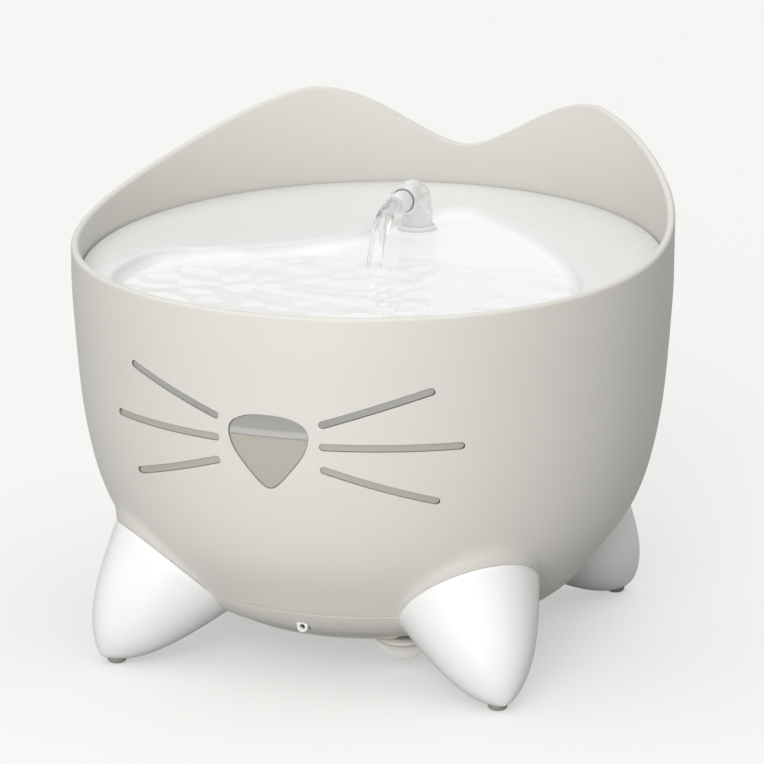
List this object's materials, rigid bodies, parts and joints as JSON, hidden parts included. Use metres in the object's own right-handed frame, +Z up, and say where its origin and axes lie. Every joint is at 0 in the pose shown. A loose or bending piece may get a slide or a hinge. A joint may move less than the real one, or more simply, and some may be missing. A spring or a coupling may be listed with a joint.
{
  "type": "pet water fountain",
  "caption": "Cat-shaped bowl on splayed feet: lift-out tray with a turning clear spout, filter house, submerged pump and a dry base with the electronics.",
  "frame": {"origin": "on the floor under the middle of the bowl", "axes": "+Z up, the face looks along -Y, +X to the right as seen from the front"},
  "size_m": [0.224, 0.224, 0.1866],
  "materials": {
    "bowl_plastic": "smooth, softly glossy warm off-white ABS",
    "white_plastic": "smooth, glossy white ABS",
    "smoked_clear": "frosted translucent acrylic",
    "clear_plastic": "clear, polished",
    "filter_plastic": "pale blue, satin",
    "pad_rubber": "soft grey, matte",
    "seal_rubber": "dark silicone, satin",
    "cup_rubber": "translucent grey, glossy",
    "pump_plastic": "black, fine texture",
    "steel": "zinc plated",
    "copper": "enamelled copper wire",
    "ceramic": "polished ceramic",
    "magnet": "ferrite, matte",
    "impeller_plastic": "natural, satin",
    "board": "green solder mask",
    "led": "unlit, smoked",
    "sponge": "open-cell foam",
    "carbon": "granules in a mesh bag",
    "felt": "white needle felt"
  },
  "bodies": {
    "root": {"shell": "bowl_plastic", "face_window": "smoked_clear", "face_gasket": "seal_rubber", "foot_front_left": "white_plastic", "foot_front_right": "white_plastic", "foot_rear_left": "white_plastic", "foot_rear_right": "white_plastic", "pad_front_left": "pad_rubber", "pad_front_right": "pad_rubber", "pad_rear_left": "pad_rubber", "pad_rear_right": "pad_rubber", "base_pan": "bowl_plastic", "base_screws": "steel", "circuit_board": "board", "board_screws": "steel", "control_chip": "pump_plastic", "drive_coil": "copper", "power_inlet": "pump_plastic", "status_led": "led", "status_bezel": "white_plastic", "status_lens": "led"},
    "cap": {"service_cap": "bowl_plastic", "service_seal": "seal_rubber"},
    "pump": {"pump_body": "pump_plastic", "motor_cover": "pump_plastic", "stator_core": "steel", "stator_coils": "copper", "pickup_coil": "copper", "rotor_shaft": "ceramic", "shaft_bushings": "pump_plastic", "intake_cover": "pump_plastic", "intake_seal": "seal_rubber", "suction_cups": "cup_rubber", "riser_tube": "clear_plastic", "riser_seal": "seal_rubber"},
    "rotor": {"impeller": "impeller_plastic", "rotor_magnet": "magnet"},
    "dial": {"flow_dial": "white_plastic"},
    "house": {"filter_house": "white_plastic", "prefilter_sponge": "sponge"},
    "filter": {"filter_frame": "filter_plastic", "carbon_bed": "carbon", "felt_pad": "felt", "filter_grille": "filter_plastic"},
    "tray": {"tray": "white_plastic", "spout_collar": "clear_plastic"},
    "spout": {"spout": "clear_plastic", "spout_clip": "white_plastic", "nozzle_ring": "seal_rubber", "nozzle_tip": "clear_plastic"}
  },
  "joints": [
    {"name": "tray_lift", "type": "slide", "parent": "root", "child": "tray", "axis": [0, 0, 1], "range_m": [0, 0.15]},
    {"name": "spout_turn", "type": "hinge", "parent": "tray", "child": "spout", "pos_m": [0, 0.051, 0.15], "axis": [0, 0, 1], "range_deg": [-60, 60]},
    {"name": "pump_lift", "type": "slide", "parent": "root", "child": "pump", "axis": [0, 0, 1], "range_m": [0, 0.03]},
    {"name": "impeller_spin", "type": "hinge", "parent": "pump", "child": "rotor", "pos_m": [0, 0.04, 0.058], "axis": [0, 1, 0], "continuous": true},
    {"name": "flow_dial_turn", "type": "hinge", "parent": "pump", "child": "dial", "pos_m": [0, 0.062, 0.058], "axis": [0, 1, 0], "range_deg": [0, 30]},
    {"name": "house_lift", "type": "slide", "parent": "pump", "child": "house", "axis": [0, 0, 1], "range_m": [0, 0.045]},
    {"name": "filter_lift", "type": "slide", "parent": "house", "child": "filter", "axis": [0, 0, 1], "range_m": [0, 0.03]},
    {"name": "service_cap_turn", "type": "hinge", "parent": "root", "child": "cap", "pos_m": [0.0274, -0.0442, 0.0124], "axis": [0, 0, 1], "range_deg": [0, 90]}
  ],
  "couplings": [
    {"joint": "pump_lift", "follows": "tray_lift", "ratio": 0.2},
    {"joint": "house_lift", "follows": "tray_lift", "ratio": 0.3},
    {"joint": "filter_lift", "follows": "tray_lift", "ratio": 0.2}
  ]
}
